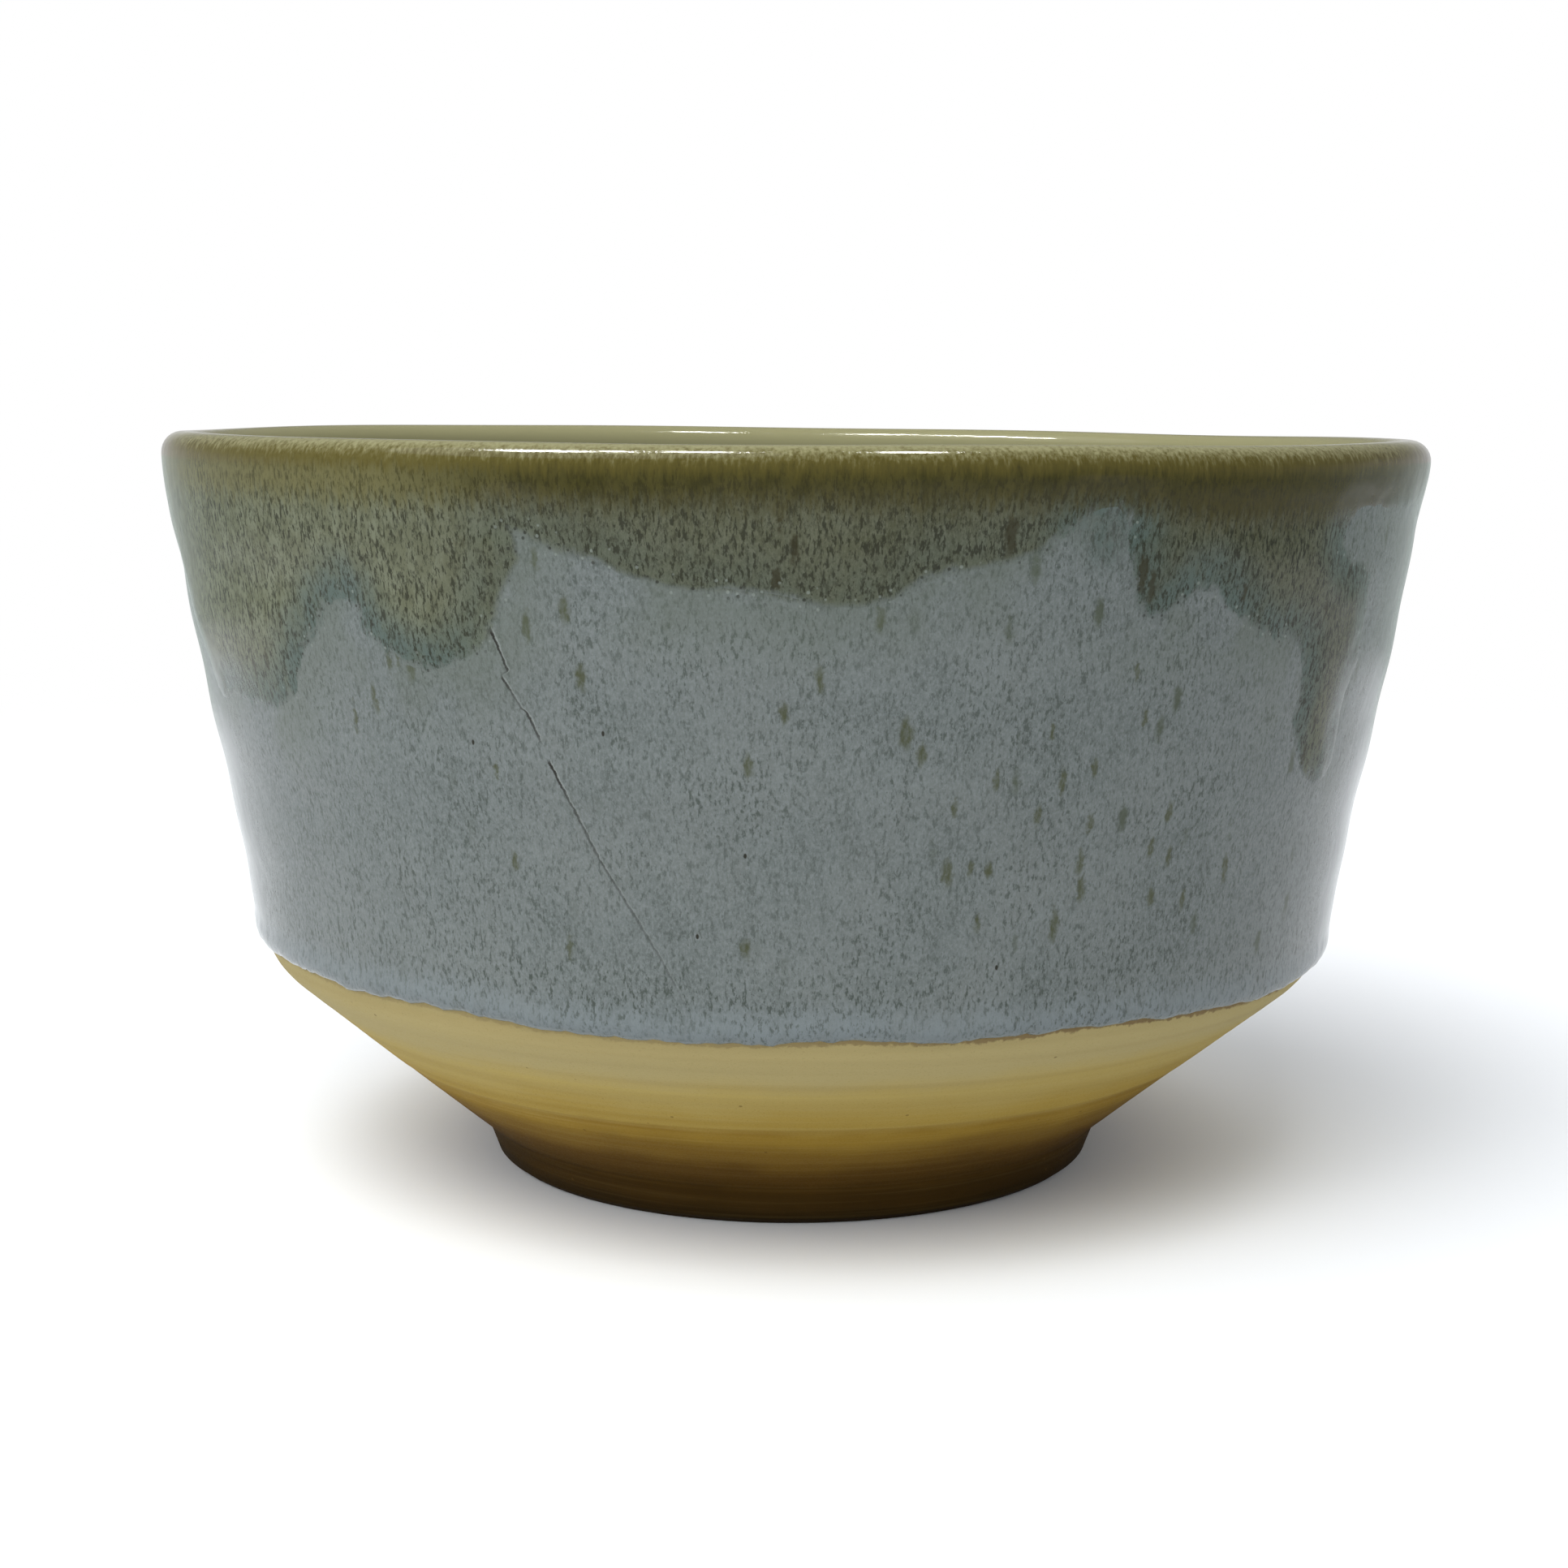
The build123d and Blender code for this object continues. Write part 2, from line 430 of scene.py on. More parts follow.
EDGE_ROUND = 0.7 * MM
BEAD = 0.45
BEAD_FROM_EDGE = 1.2 * MM
BEAD_WIDTH = 1.0 * MM
SUNK = 0.03 * MM  # how far a coat's hidden side lies inside the clay
EDGE_WANDER = ((22, 0.5, 0.28), (70, 7.5, 0.16))  # waves of noise: frequency, slice and size in millimetres
NEAR_EDGE = np.concatenate([[0, 0.03, 0.08, 0.15, 0.25, 0.4], np.arange(0.6, 5, 0.25)]) * MM
ROWS_ABOVE = 125
ROWS_UNDER = 8
DIP_LOWEST = 30 * MM  # no part of the dip comes down to this height


def coat_thickness(from_edge):
    """The first coat's thickness near its lower edge: a rounded edge, then a slight bead where it ran."""
    rounded = np.sqrt(np.clip(1 - (1 - np.clip(from_edge / EDGE_ROUND, 0, 1)) ** 2, 0, 1))
    bead = 1 + BEAD * np.exp(-(((from_edge - BEAD_FROM_EDGE) / BEAD_WIDTH) ** 2))
    return FIRST_COAT * rounded * bead


def ragged_edge(azimuth):
    """A fine wander of a glaze edge, in metres."""
    found = [
        sum(
            noise.noise(Vector((math.cos(turn) * frequency, math.sin(turn) * frequency, level))) * size
            for frequency, level, size in EDGE_WANDER
        )
        for turn in azimuth
    ]
    return np.array(found) * MM


def build_outside():
    """The blue-grey glaze outside, from its beaded lower edge to the lip."""
    turn = azimuths(GLAZE_COLUMNS)
    edge = section.where(glaze_edge(np.degrees(turn))) + ragged_edge(turn)
    share = np.linspace(0, 1, ROWS_ABOVE + 1)[1:]
    under = np.linspace(1, 0, ROWS_UNDER + 1)[:-1]
    total = CROWN - edge
    above = NEAR_EDGE[-1] + share[:, None] * (total[None] - NEAR_EDGE[-1])
    from_edge = np.concatenate([np.repeat(NEAR_EDGE[:, None], GLAZE_COLUMNS, 1), above])
    thickness = coat_thickness(from_edge)
    below = under[:, None] * total[None]
    columns = np.broadcast_to(turn, (len(from_edge) + len(below), GLAZE_COLUMNS))
    length = edge[None] + np.concatenate([from_edge, below])
    out = np.concatenate([thickness, np.full(below.shape, -SUNK)])
    out[0] = -SUNK
    radius, height = section.at(length, out)
    faces = grid_faces(len(length), GLAZE_COLUMNS, wrap_rows=True)
    dip = np.full(length.shape, -FAR)
    near_dip = height > DIP_LOWEST
    near_dip[len(from_edge):] = False
    dip[near_dip] = past_dip(columns[near_dip], length[near_dip])
    marks = {
        "from_edge": (np.concatenate([from_edge, below]) / MM).reshape(-1),
        "past_dip": (dip / MM).reshape(-1),
    }
    points = turned(radius, height, columns)
    return add_piece("blue_grey_glaze_outside", OUTSIDE, points, faces, marks)


POOL = 0.25 * MM
POOL_RADII = (18 * MM, 34 * MM)
LINER_END = END - 0.6 * MM


def build_inside():
    """The blue-grey glaze inside, from the lip to the floor, a little thicker where it pools."""
    turn = azimuths(LINER_COLUMNS)
    top = stations((CROWN, CROWN + 6 * MM, 0.4 * MM), (CROWN + 6 * MM, LINER_END, 0.6 * MM))
    under = stations((CROWN, LINER_END, 8 * MM))[::-1]
    length = np.concatenate([under, top])[:, None] * np.ones(LINER_COLUMNS)
    pool = POOL * (1 - smoothstep(section.at(top)[0], *POOL_RADII))
    out = np.concatenate([np.full(len(under), -SUNK), FIRST_COAT + pool])[:, None] * np.ones(LINER_COLUMNS)
    radius, height = section.at(length, out)
    columns = np.broadcast_to(turn, length.shape)
    points = turned(radius, height, columns)
    rows = len(length)
    floor = section.path[-1, 1]
    poles = np.array([[0, 0, floor - SUNK], [0, 0, floor + FIRST_COAT + pool[-1]]])
    faces = grid_faces(rows, LINER_COLUMNS)
    faces += pole_faces(0, LINER_COLUMNS, len(points), False)
    faces += pole_faces(rows - 1, LINER_COLUMNS, len(points) + 1, True)
    return add_piece("blue_grey_glaze_inside", INSIDE, np.concatenate([points, poles]), faces)


DIP_FEATHER = 4.0 * MM  # from the dip's edge to the coat's full thickness
DIP_SINK = 0.07 * MM  # how far the coat's surface dives below the first coat, past the edge
DIP_SINK_OVER = 0.6 * MM
DIP_UNDERSIDE = 2.2 * DIP_SINK
KEEP = -0.9 * MM  # how far past the dip's edge the coat still has faces
WALL_RADIUS = 55  # millimetres
DIP_WANDER = ((0.28, 0.5), (0.9, 0.28))  # waves of noise: frequency per millimetre and size in millimetres
BELOW_LONGEST_RUN = 1.2 * MM
INSIDE_LOWEST = 54 * MM
LIP_REACH = 4 * MM


def dip_wander(azimuth, length):
    """A fine wander of the dip line, in metres."""
    found = np.empty(azimuth.shape)
    for index in np.ndindex(azimuth.shape):
        turn, run = azimuth[index], length[index] / MM
        place = Vector((math.cos(turn) * WALL_RADIUS, math.sin(turn) * WALL_RADIUS, run))
        found[index] = sum(noise.noise(place * frequency) * size for frequency, size in DIP_WANDER)
    return found * MM


def build_rim():
    """The olive glaze over the lip, its edge following the dip line outside and inside."""
    lengths = stations(
        (section.where(node_points(RIM)[:, 2].min() - BELOW_LONGEST_RUN), CROWN - LIP_REACH, 0.32 * MM),
        (CROWN - LIP_REACH, CROWN + LIP_REACH, 0.26 * MM),
        (CROWN + LIP_REACH, section.where(INSIDE_LOWEST, True), 0.45 * MM),
    )
    turn, length = np.meshgrid(azimuths(RIM_COLUMNS), lengths)
    past = past_dip(turn, length) + dip_wander(turn, length)
    sunk = DIP_SINK * np.clip(-past / DIP_SINK_OVER, 0, 1)
    top = FIRST_COAT + RIM_COAT * smoothstep(past, -DIP_FEATHER / 4, DIP_FEATHER) - sunk
    radius, height = section.at(length, top)
    low_radius, low_height = section.at(length, FIRST_COAT - DIP_UNDERSIDE)
    kept = past > KEEP
    rows, columns = length.shape
    count = rows * columns
    faces, sides = [], {}
    for face in grid_faces(rows, columns):
        if not any(kept.flat[corner] for corner in face):
            continue
        faces.append(face)
        faces.append(tuple(corner + count for corner in reversed(face)))
        for first, second in zip(face, face[1:] + face[:1]):
            if (second, first) in sides:
                del sides[(second, first)]
            else:
                sides[(first, second)] = True
    faces += [(second, first, first + count, second + count) for first, second in sides]
    all_points = np.concatenate([turned(radius, height, turn), turned(low_radius, low_height, turn)])
    used = np.unique(np.array([corner for face in faces for corner in face]))
    renumber = np.full(len(all_points), -1)
    renumber[used] = np.arange(len(used))
    faces = [tuple(int(renumber[corner]) for corner in face) for face in faces]
    marks = {
        "past_dip": np.tile((past / MM).reshape(-1), 2)[used],
        "to_crown": np.tile(((length - CROWN) / MM).reshape(-1), 2)[used],
    }
    return add_piece("olive_glaze_rim", RIM, all_points[used], faces, marks)


stoneware = build_body()
outside = build_outside()
inside = build_inside()
rim = build_rim()


# ---------------- materials
def colour(red, green, blue):
    """A colour named by its 8-bit screen values, as linear light."""
    linear = []
    for value in (red, green, blue):
        share = value / 255
        linear.append(share / 12.92 if share <= 0.04045 else ((share + 0.055) / 1.055) ** 2.4)
    return (*linear, 1.0)


IOR = 1.5


class Nodes:
    """A node tree that is built from nothing."""

    def __init__(self, block):
        block.use_nodes = True
        self.tree = block.node_tree
        self.tree.nodes.clear()

    def node(self, kind, inputs=None, **settings):
        made = self.tree.nodes.new(kind)
        for name, value in settings.items():
            setattr(made, name, value)
        for key, value in (inputs or {}).items():
            self.put(made.inputs[key], value)
        return made

    def put(self, socket, value):
        """Feed an input from another socket or with a value."""
        if isinstance(value, bpy.types.NodeSocket):
            self.tree.links.new(value, socket)
        else:
            socket.default_value = value

    def mix(self, share, first, second):
        made = self.node("ShaderNodeMix", {0: share}, data_type="RGBA")
        self.put(made.inputs[6], first)
        self.put(made.inputs[7], second)
        return made.outputs[2]


class Paint(Nodes):
    """One material; each method returns the socket that it made.

    Places are in millimetres, and angles in degrees from the front.
    """

    def __init__(self, name):
        self.material = bpy.data.materials.new(name)
        super().__init__(self.material)
        coordinates = self.node("ShaderNodeTexCoord").outputs["Object"]
        self.place = self.vector("SCALE", coordinates, scale=1 / MM)
        self.x, self.y, self.z = self.node("ShaderNodeSeparateXYZ", {0: self.place}).outputs
        self.angle = self.math("DEGREES", self.math("ARCTAN2", self.x, self.math("MULTIPLY", self.y, -1)))
        flat = self.node("ShaderNodeCombineXYZ", {0: self.x, 1: self.y}).outputs[0]
        self.radius = self.vector("LENGTH", flat)

    def math(self, operation, *values, clamp=False):
        inputs = dict(enumerate(values))
        return self.node("ShaderNodeMath", inputs, operation=operation, use_clamp=clamp).outputs[0]

    def vector(self, operation, *values, scale=None):
        made = self.node("ShaderNodeVectorMath", dict(enumerate(values)), operation=operation)
        if scale is not None:
            self.put(made.inputs["Scale"], scale)
        return made.outputs["Value" if operation == "LENGTH" else "Vector"]

    def mark(self, name):
        """A value that the mesh carries at its vertices."""
        return self.node("ShaderNodeAttribute", attribute_name=name).outputs["Fac"]

    def stretched(self, x, y, z):
        """The place, scaled along each axis: a small z makes a pattern long and upright."""
        return self.vector("MULTIPLY", self.place, (x, y, z))

    def noise(self, place, scale, detail=2.0, roughness=0.5):
        inputs = {"Vector": place, "Scale": scale, "Detail": detail, "Roughness": roughness}
        return self.node("ShaderNodeTexNoise", inputs).outputs["Fac"]

    def cells(self, place, scale, channel=0):
        """The distance to the nearest of many scattered points, and a number drawn for that point."""
        made = self.node("ShaderNodeTexVoronoi", {"Vector": place, "Scale": scale})
        drawn = self.node("ShaderNodeSeparateColor", {0: made.outputs["Color"]}).outputs[channel]
        return made.outputs["Distance"], drawn

    def span(self, value, low, high, start=0.0, end=1.0):
        """A smooth rise from start, where the value is low, to end, where it is high."""
        inputs = {"Value": value, "From Min": low, "From Max": high, "To Min": start, "To Max": end}
        return self.node("ShaderNodeMapRange", inputs, interpolation_type="SMOOTHSTEP").outputs["Result"]

    def both(self, *values):
        """The product of the values."""
        total = values[0]
        for value in values[1:]:
            total = self.math("MULTIPLY", total, value)
        return total

    def around_zero(self, value, reach):
        """A noise value between 0 and 1 as a shift of up to a reach either way."""
        return self.math("MULTIPLY", self.math("SUBTRACT", value, 0.5), 2 * reach)

    def tint(self, base, shade, *shares):
        """The base under a shade, as strong as the product of the shares."""
        return self.mix(self.both(*shares), base, shade)

    def curve(self, value, low, high, points):
        """Straight lines through (value, result) points, whose results lie between 0 and 1."""
        made = self.node("ShaderNodeFloatCurve")
        line = made.mapping.curves[0]
        for place, result in points[1:-1]:
            line.points.new((place - low) / (high - low), result)
        for index in (0, len(points) - 1):
            place, result = points[index]
            line.points[index].location = ((place - low) / (high - low), result)
        for point in line.points:
            point.handle_type = "VECTOR"
        made.mapping.update()
        share = self.math("DIVIDE", self.math("SUBTRACT", value, low), high - low, clamp=True)
        self.put(made.inputs["Value"], share)
        return made.outputs["Value"]

    def finish(self, base, roughness, height, depth, specular):
        """The material itself, with a bump of a depth where the height is 1."""
        bump = self.node("ShaderNodeBump", {"Height": height, "Distance": depth, "Strength": 1.0})
        shader = self.node("ShaderNodeBsdfPrincipled", {
            "Base Color": base, "Roughness": roughness, "IOR": IOR, "Normal": bump.outputs[0],
            "Specular IOR Level": specular,
        })
        self.node("ShaderNodeOutputMaterial", {"Surface": shader.outputs[0]})
        return self.material


# Marks in the glaze, as (angle, height, half width, half length): olive-brown specks in the blue-grey.
SPECKS = (
    (8.8, 48.1, 0.65, 1.3), (10.1, 46.4, 0.5, 0.9), (16.5, 44.3, 0.35, 0.9), (22.4, 43.8, 0.4, 1.0),
    (25.3, 44.9, 0.35, 0.8), (13.1, 42.0, 0.35, 0.9), (20.4, 41.1, 0.4, 0.9), (25.4, 40.3, 0.4, 0.9),
    (33.6, 40.6, 0.4, 1.1), (32.3, 37.7, 0.45, 1.0), (34.5, 36.8, 0.4, 0.9), (25.0, 37.0, 0.4, 1.2),
    (25.4, 34.7, 0.45, 1.2), (12.9, 36.6, 0.6, 1.1), (14.9, 37.0, 0.35, 0.7), (16.5, 36.8, 0.35, 0.8),
    (42.0, 34.9, 0.45, 1.2), (33.0, 33.4, 0.4, 0.9), (36.9, 32.8, 0.4, 0.9), (23.1, 31.8, 0.45, 1.9),
    (15.9, 32.4, 0.35, 0.7), (-4.1, 30.5, 0.45, 0.8), (-3.6, 45.5, 0.5, 0.9), (-0.8, 49.7, 0.45, 1.0),
    (1.9, 52.4, 0.45, 1.1), (29.5, 48.6, 0.35, 1.1), (21.0, 48.0, 0.3, 0.8), (-24.3, 36.8, 0.4, 0.8),
    (-19.8, 29.9, 0.3, 1.2), (-33.5, 53.3, 0.35, 1.0), (-25.0, 44.4, 0.3, 0.8), (6.4, 57.0, 0.45, 1.0),
    (-17.8, 57.5, 0.5, 1.0), (-19.9, 61.4, 0.4, 0.9), (-21.0, 56.1, 0.45, 1.2), (28.0, 52.4, 0.3, 1.0),
    (-16.8, 52.2, 0.55, 1.0), (-28.1, 55.0, 0.3, 1.0), (-32.3, 52.1, 0.5, 1.1), (-34.5, 52.7, 0.35, 1.2),
    (-36.9, 49.4, 0.4, 1.5), (-39.6, 47.8, 0.3, 1.6),
)
# Pinholes, as (angle, height).
PINHOLES = ((-4.0, 38.2), (-8.2, 31.4), (-15.3, 47.8), (-27.0, 46.5), (18.0, 28.5))
# Dark streaks in the olive.
STREAKS = (
    (-1.2, 65.1, 0.35, 1.6), (-0.1, 63.2, 0.5, 1.6), (-1.4, 60.5, 0.45, 1.7), (16.1, 64.0, 0.7, 1.9),
    (27.5, 60.6, 0.55, 1.8), (28.4, 59.7, 0.5, 1.8), (21.8, 60.4, 0.35, 1.4), (38.1, 58.8, 0.35, 1.4),
    (46.0, 61.5, 0.3, 1.8), (49.5, 57.6, 0.35, 2.0), (51.6, 47.7, 0.3, 1.8), (51.0, 43.8, 0.35, 1.4),
    (54.5, 54.0, 0.35, 1.8),
    (-55.3, 59.3, 0.35, 1.6), (-52.3, 55.5, 0.4, 1.8), (-50.8, 52.3, 0.4, 1.5), (-53.5, 51.4, 0.35, 1.4),
    (-47.3, 56.6, 0.35, 1.6), (-46.7, 61.9, 0.3, 1.5), (-58.1, 60.5, 0.35, 1.5), (-25.7, 63.6, 0.3, 1.2),
)
# The brown middle of the longest run, and the thin veil of olive in the notch beside it.
RUN_CORES = ((52.3, 45.6, 1.9, 4.2),)
VEILS = ((24.0, 65.0, 3.4, 4.0),)
# The firing crack, as (height, angle) along it and as (height, openness between 0 and 1).
CRACK_LINE = (
    (24.7, -8.9), (28.5, -10.9), (33.0, -13.5), (37.5, -16.3), (41.0, -17.9), (45.3, -19.9), (47.0, -20.55),
    (49.3, -21.55), (49.6, -22.0), (52.15, -23.4), (52.6, -22.8), (54.25, -23.4), (55.8, -24.0),
)
CRACK_OPEN = (
    (24.5, 0.0), (28.0, 0.3), (33.0, 0.4), (38.0, 0.55), (42.0, 0.6), (43.5, 0.9), (45.2, 1.0), (45.6, 0.0),
    (46.7, 0.0), (47.2, 0.7), (49.2, 0.9), (49.7, 0.4), (51.9, 0.9), (52.2, 0.0), (52.6, 0.8), (55.5, 1.0),
    (56.0, 0.0),
)
CRACK_SPAN = (24, 58)  # heights
CRACK_ANGLES = 30  # the crack's angles lie between this many degrees to the left and the front

# Colours of the blue-grey glaze.
BLUE_GROUND = (colour(83, 89, 87), colour(92, 97, 95))
BLUE_MOTTLE = colour(98, 104, 103)
BLUE_DUST = colour(110, 116, 116)
BLUE_AT_EDGE = colour(104, 112, 115)
BLUE_BELOW_DIP = colour(72, 80, 68)
BLUE_FLECK = colour(58, 65, 60)
SPECK = colour(58, 62, 40)
RUNNING_SPECK = colour(56, 63, 47)
PINHOLE = colour(30, 29, 20)
# Painted shade in the crack's gap, and painted light on its far side.
CRACK_SHADE = colour(24, 22, 16)
CRACK_LIT = colour(132, 138, 134)
# Colours of the olive glaze, which is amber below the lip and pale on it.
OLIVE_GROUND = (colour(60, 62, 44), colour(71, 73, 55))
OLIVE_MOTTLE = colour(80, 83, 68)
OLIVE_DUST = colour(92, 94, 78)
# Paler olive for the left side: partly the glaze's own tone, partly painted light from the left.
OLIVE_BEIGE_AND_LIT = (colour(88, 91, 71), colour(102, 106, 87))
OLIVE_AT_EDGE = colour(70, 83, 78)
OLIVE_CORE = colour(76, 77, 52)
OLIVE_DASH = colour(31, 32, 18)
OLIVE_STREAK = colour(38, 35, 13)
PIT = colour(30, 31, 22)
BUBBLE = colour(126, 134, 127)
AMBER = (colour(49, 46, 16), colour(60, 56, 24))
# Paler amber for the left side: partly the glaze's own tone, partly painted light from the left.
AMBER_BEIGE_AND_LIT = colour(97, 94, 62)
AMBER_DEEP = colour(53, 48, 8)
AMBER_DASH = colour(36, 33, 11)
GOLDEN = colour(76, 69, 28)
PALE_LIP = colour(135, 133, 99)
INSIDE_BAND = (colour(98, 97, 66), colour(112, 111, 82))

RIM_GLOSS = {"roughness": (0.04, 0.08), "specular": 0.17}
WALL_GLOSS = {"roughness": (0.08, 0.15), "specular": 0.22}
GLAZE_RELIEF = 0.05 * MM
SPOT_FILL = (1.2, 0.85)  # how fully a spot fills its half width and half length
PINHOLE_SIZE = (0.16, 0.2)


def on_wall(angle, height):
    """The millimetre position on the outer glaze at an angle and height."""
    turn = math.radians(angle - 90)
    radius, level = section.at(section.where(height * MM), FIRST_COAT)
    moved = handmade(np.array([[radius * math.cos(turn), radius * math.sin(turn), level]]))[0]
    return moved / MM


class Glaze(Paint):
    """Reduction-fired glaze: blue-grey with fine upright flecks; under the rim's second dip, olive.

    Both outer coats share the same ground, so the colour changes raggedly across the edge of the dip.
    """

    def __init__(self, name):
        super().__init__(name)
        self.clouds = self.noise(self.stretched(1, 1, 0.8), 0.11, 3, 0.55)
        self.mottle = self.noise(self.stretched(1, 1, 0.5), 0.75, 3, 0.6)
        self.fine = self.noise(self.stretched(1, 1, 0.42), 3.1, 4, 0.72)
        self.dust = self.noise(self.stretched(1, 1, 0.6), 5.0, 3, 0.7)
        self.flecks = self.span(self.fine, 0.49, 0.64)
        self.relief = self.both(self.flecks, 0.5)
        wobble = self.node("ShaderNodeTexNoise", {"Vector": self.place, "Scale": 1.6, "Detail": 3.0})
        wobble = self.vector("SUBTRACT", wobble.outputs["Color"], (0.5, 0.5, 0.5))
        self.wobbled = self.vector("ADD", self.place, self.vector("SCALE", wobble, scale=0.9))
        # Fades out what depends on the angle before the angle jumps from 180 to -180.
        self.not_behind = self.span(self.math("ABSOLUTE", self.angle), 174, 130)

    def rightward(self, low, high, end):
        """A rise from 0 to an end between two angles on the right, gone again straight behind."""
        return self.both(self.span(self.angle, low, high, 0, end), self.not_behind)

    def spots(self, place, places):
        """How near a place is to the nearest listed spot: below 1 within it."""
        nearest = None
        for angle, height, half_width, half_length in places:
            across, along = SPOT_FILL[0] / half_width, SPOT_FILL[1] / half_length
            offset = self.vector("SUBTRACT", place, tuple(on_wall(angle, height)))
            size = self.vector("LENGTH", self.vector("MULTIPLY", offset, (across, across, along)))
            nearest = size if nearest is None else self.math("MINIMUM", nearest, size)
        return nearest

    def ground(self, outer):
        """The blue-grey ground; the outer coat is paler in the bead along its lower edge."""
        blue = self.mix(self.span(self.clouds, 0.36, 0.64), *BLUE_GROUND)
        blue = self.tint(blue, BLUE_MOTTLE, self.span(self.mottle, 0.38, 0.66, 0, 0.5))
        blue = self.tint(blue, BLUE_DUST, self.span(self.dust, 0.38, 0.68, 0, 0.65))
        strength = self.span(self.noise(self.place, 0.14, 2), 0.32, 0.68, 0.55, 0.9)
        if outer:
            edge = self.mark("from_edge")
            low = self.both(self.span(edge, 4.5, 1.0), self.span(self.mottle, 0.3, 0.6, 0.55, 1.0))
            above_low = self.both(self.span(edge, 2.0, 3.5), self.span(edge, 8.0, 4.5))
            blue = self.tint(blue, BLUE_AT_EDGE, low, 0.7)
            strength = self.math("ADD", strength, self.both(above_low, 0.3))
            strength = self.math("ADD", strength, self.rightward(15, 45, 0.12))
            strength = self.math("SUBTRACT", strength, self.both(low, 0.15), clamp=True)
        return self.tint(blue, BLUE_FLECK, self.flecks, strength)

    def specks(self, blue, outer, over_rim):
        """Iron specks: listed where they can be seen best, scattered elsewhere, and small running ones."""
        distance, drawn = self.cells(self.vector("MULTIPLY", self.wobbled, (1, 1, 0.5)), 0.16)
        hidden_side = self.span(self.y, -12, 4) if outer or over_rim else 1.0
        speck = self.both(self.span(distance, 0.10, 0.05), self.span(drawn, 0.55, 0.57), hidden_side)
        if outer:
            listed = self.span(self.spots(self.wobbled, SPECKS), 1.35, 0.45)
            speck = self.math("MAXIMUM", speck, listed)
        blue = self.tint(blue, SPECK, speck, self.span(self.fine, 0.35, 0.6, 0.6, 0.95))
        distance, drawn = self.cells(self.vector("MULTIPLY", self.wobbled, (1, 1, 0.30)), 0.42, channel=1)
        many = self.math("ADD", self.rightward(6, 22, 0.7), 0.15)
        run = self.both(self.span(distance, 0.25, 0.07), self.span(drawn, 0.50, 0.54), many)
        return self.tint(blue, RUNNING_SPECK, run)

    def olive(self, past, aside):
        """The olive glaze: beige at the left, partly its own tone and partly painted light from the left,
        greener towards its edge, with dark dashes and streaks.
        """
        olive = self.mix(self.span(self.clouds, 0.35, 0.65), *OLIVE_GROUND)
        olive = self.tint(olive, OLIVE_MOTTLE, self.span(self.mottle, 0.4, 0.68, 0, 0.5))
        olive = self.tint(olive, OLIVE_DUST, self.span(self.dust, 0.4, 0.68, 0, 0.5))
        # Paler at the left: partly the glaze's own beige, partly painted light falling from the left.
        self.beige_and_painted_light = self.both(self.span(self.angle, -16, -36), 0.8, self.not_behind)
        olive = self.mix(self.beige_and_painted_light, olive, self.mix(self.span(self.mottle, 0.35, 0.65), *OLIVE_BEIGE_AND_LIT))
        near_edge = self.both(self.span(past, 5.0, 0.5), self.span(self.mottle, 0.3, 0.6, 0.6, 1.0))
        olive = self.tint(olive, OLIVE_AT_EDGE, near_edge, self.span(aside, 0, 1, 0.25, 0.95))
        core = self.span(self.spots(self.wobbled, RUN_CORES), 1.5, 0.7)
        olive = self.tint(olive, OLIVE_CORE, core, self.span(self.mottle, 0.3, 0.6, 0.3, 0.7))
        long_flecks = self.noise(self.stretched(1, 1, 0.30), 3.4, 3, 0.65)
        self.dashes = self.math("MAXIMUM", self.span(long_flecks, 0.51, 0.61), self.both(self.flecks, 0.7))
        dark = self.math("ADD", self.rightward(25, 50, 0.15), 0.85)
        olive = self.tint(olive, OLIVE_DASH, self.dashes, dark)
        streak = self.span(self.spots(self.wobbled, STREAKS), 1.3, 0.6)
        return self.tint(olive, OLIVE_STREAK, streak, 0.82)

    def dip(self, blue):
        """The olive glaze where the rim was dipped, with pits and bubbles along the dip's edge."""
        past = self.mark("past_dip")
        aside = self.span(self.math("ABSOLUTE", self.math("ADD", self.angle, 3)), 19, 27)
        ragged = self.math("ADD", self.around_zero(self.dust, 0.7), self.around_zero(self.mottle, 1.0))
        reach = self.math("ADD", past, self.both(ragged, self.span(aside, 0, 1, 0.35, 1.5)))
        olive = self.olive(past, aside)
        green_clouds = self.both(self.span(past, -8, -0.5), self.span(self.clouds, 0.40, 0.6), 0.4)
        blue = self.tint(blue, BLUE_BELOW_DIP, green_clouds)
        veil = self.span(self.spots(self.place, VEILS), 1.3, 0.3)
        veil = self.both(veil, self.span(self.mottle, 0.3, 0.6, 0.45, 0.85))
        base = self.mix(self.math("MAXIMUM", self.span(reach, -0.35, 0.45), veil), blue, olive)
        distance, drawn = self.cells(self.place, 1.45)
        on_edge = (self.span(past, 1.8, 0.7), self.span(past, -1.2, -0.2))
        dot = self.both(self.span(distance, 0.26, 0.14), *on_edge)
        pit = self.both(dot, self.span(drawn, 0.45, 0.40))
        bubble = self.both(dot, self.span(drawn, 0.60, 0.65))
        base = self.tint(base, PIT, pit, 0.75)
        base = self.tint(base, BUBBLE, bubble, 0.45)
        self.relief = self.math("ADD", self.relief, self.both(self.math("SUBTRACT", pit, bubble), 2.0))
        self.past = past
        return base

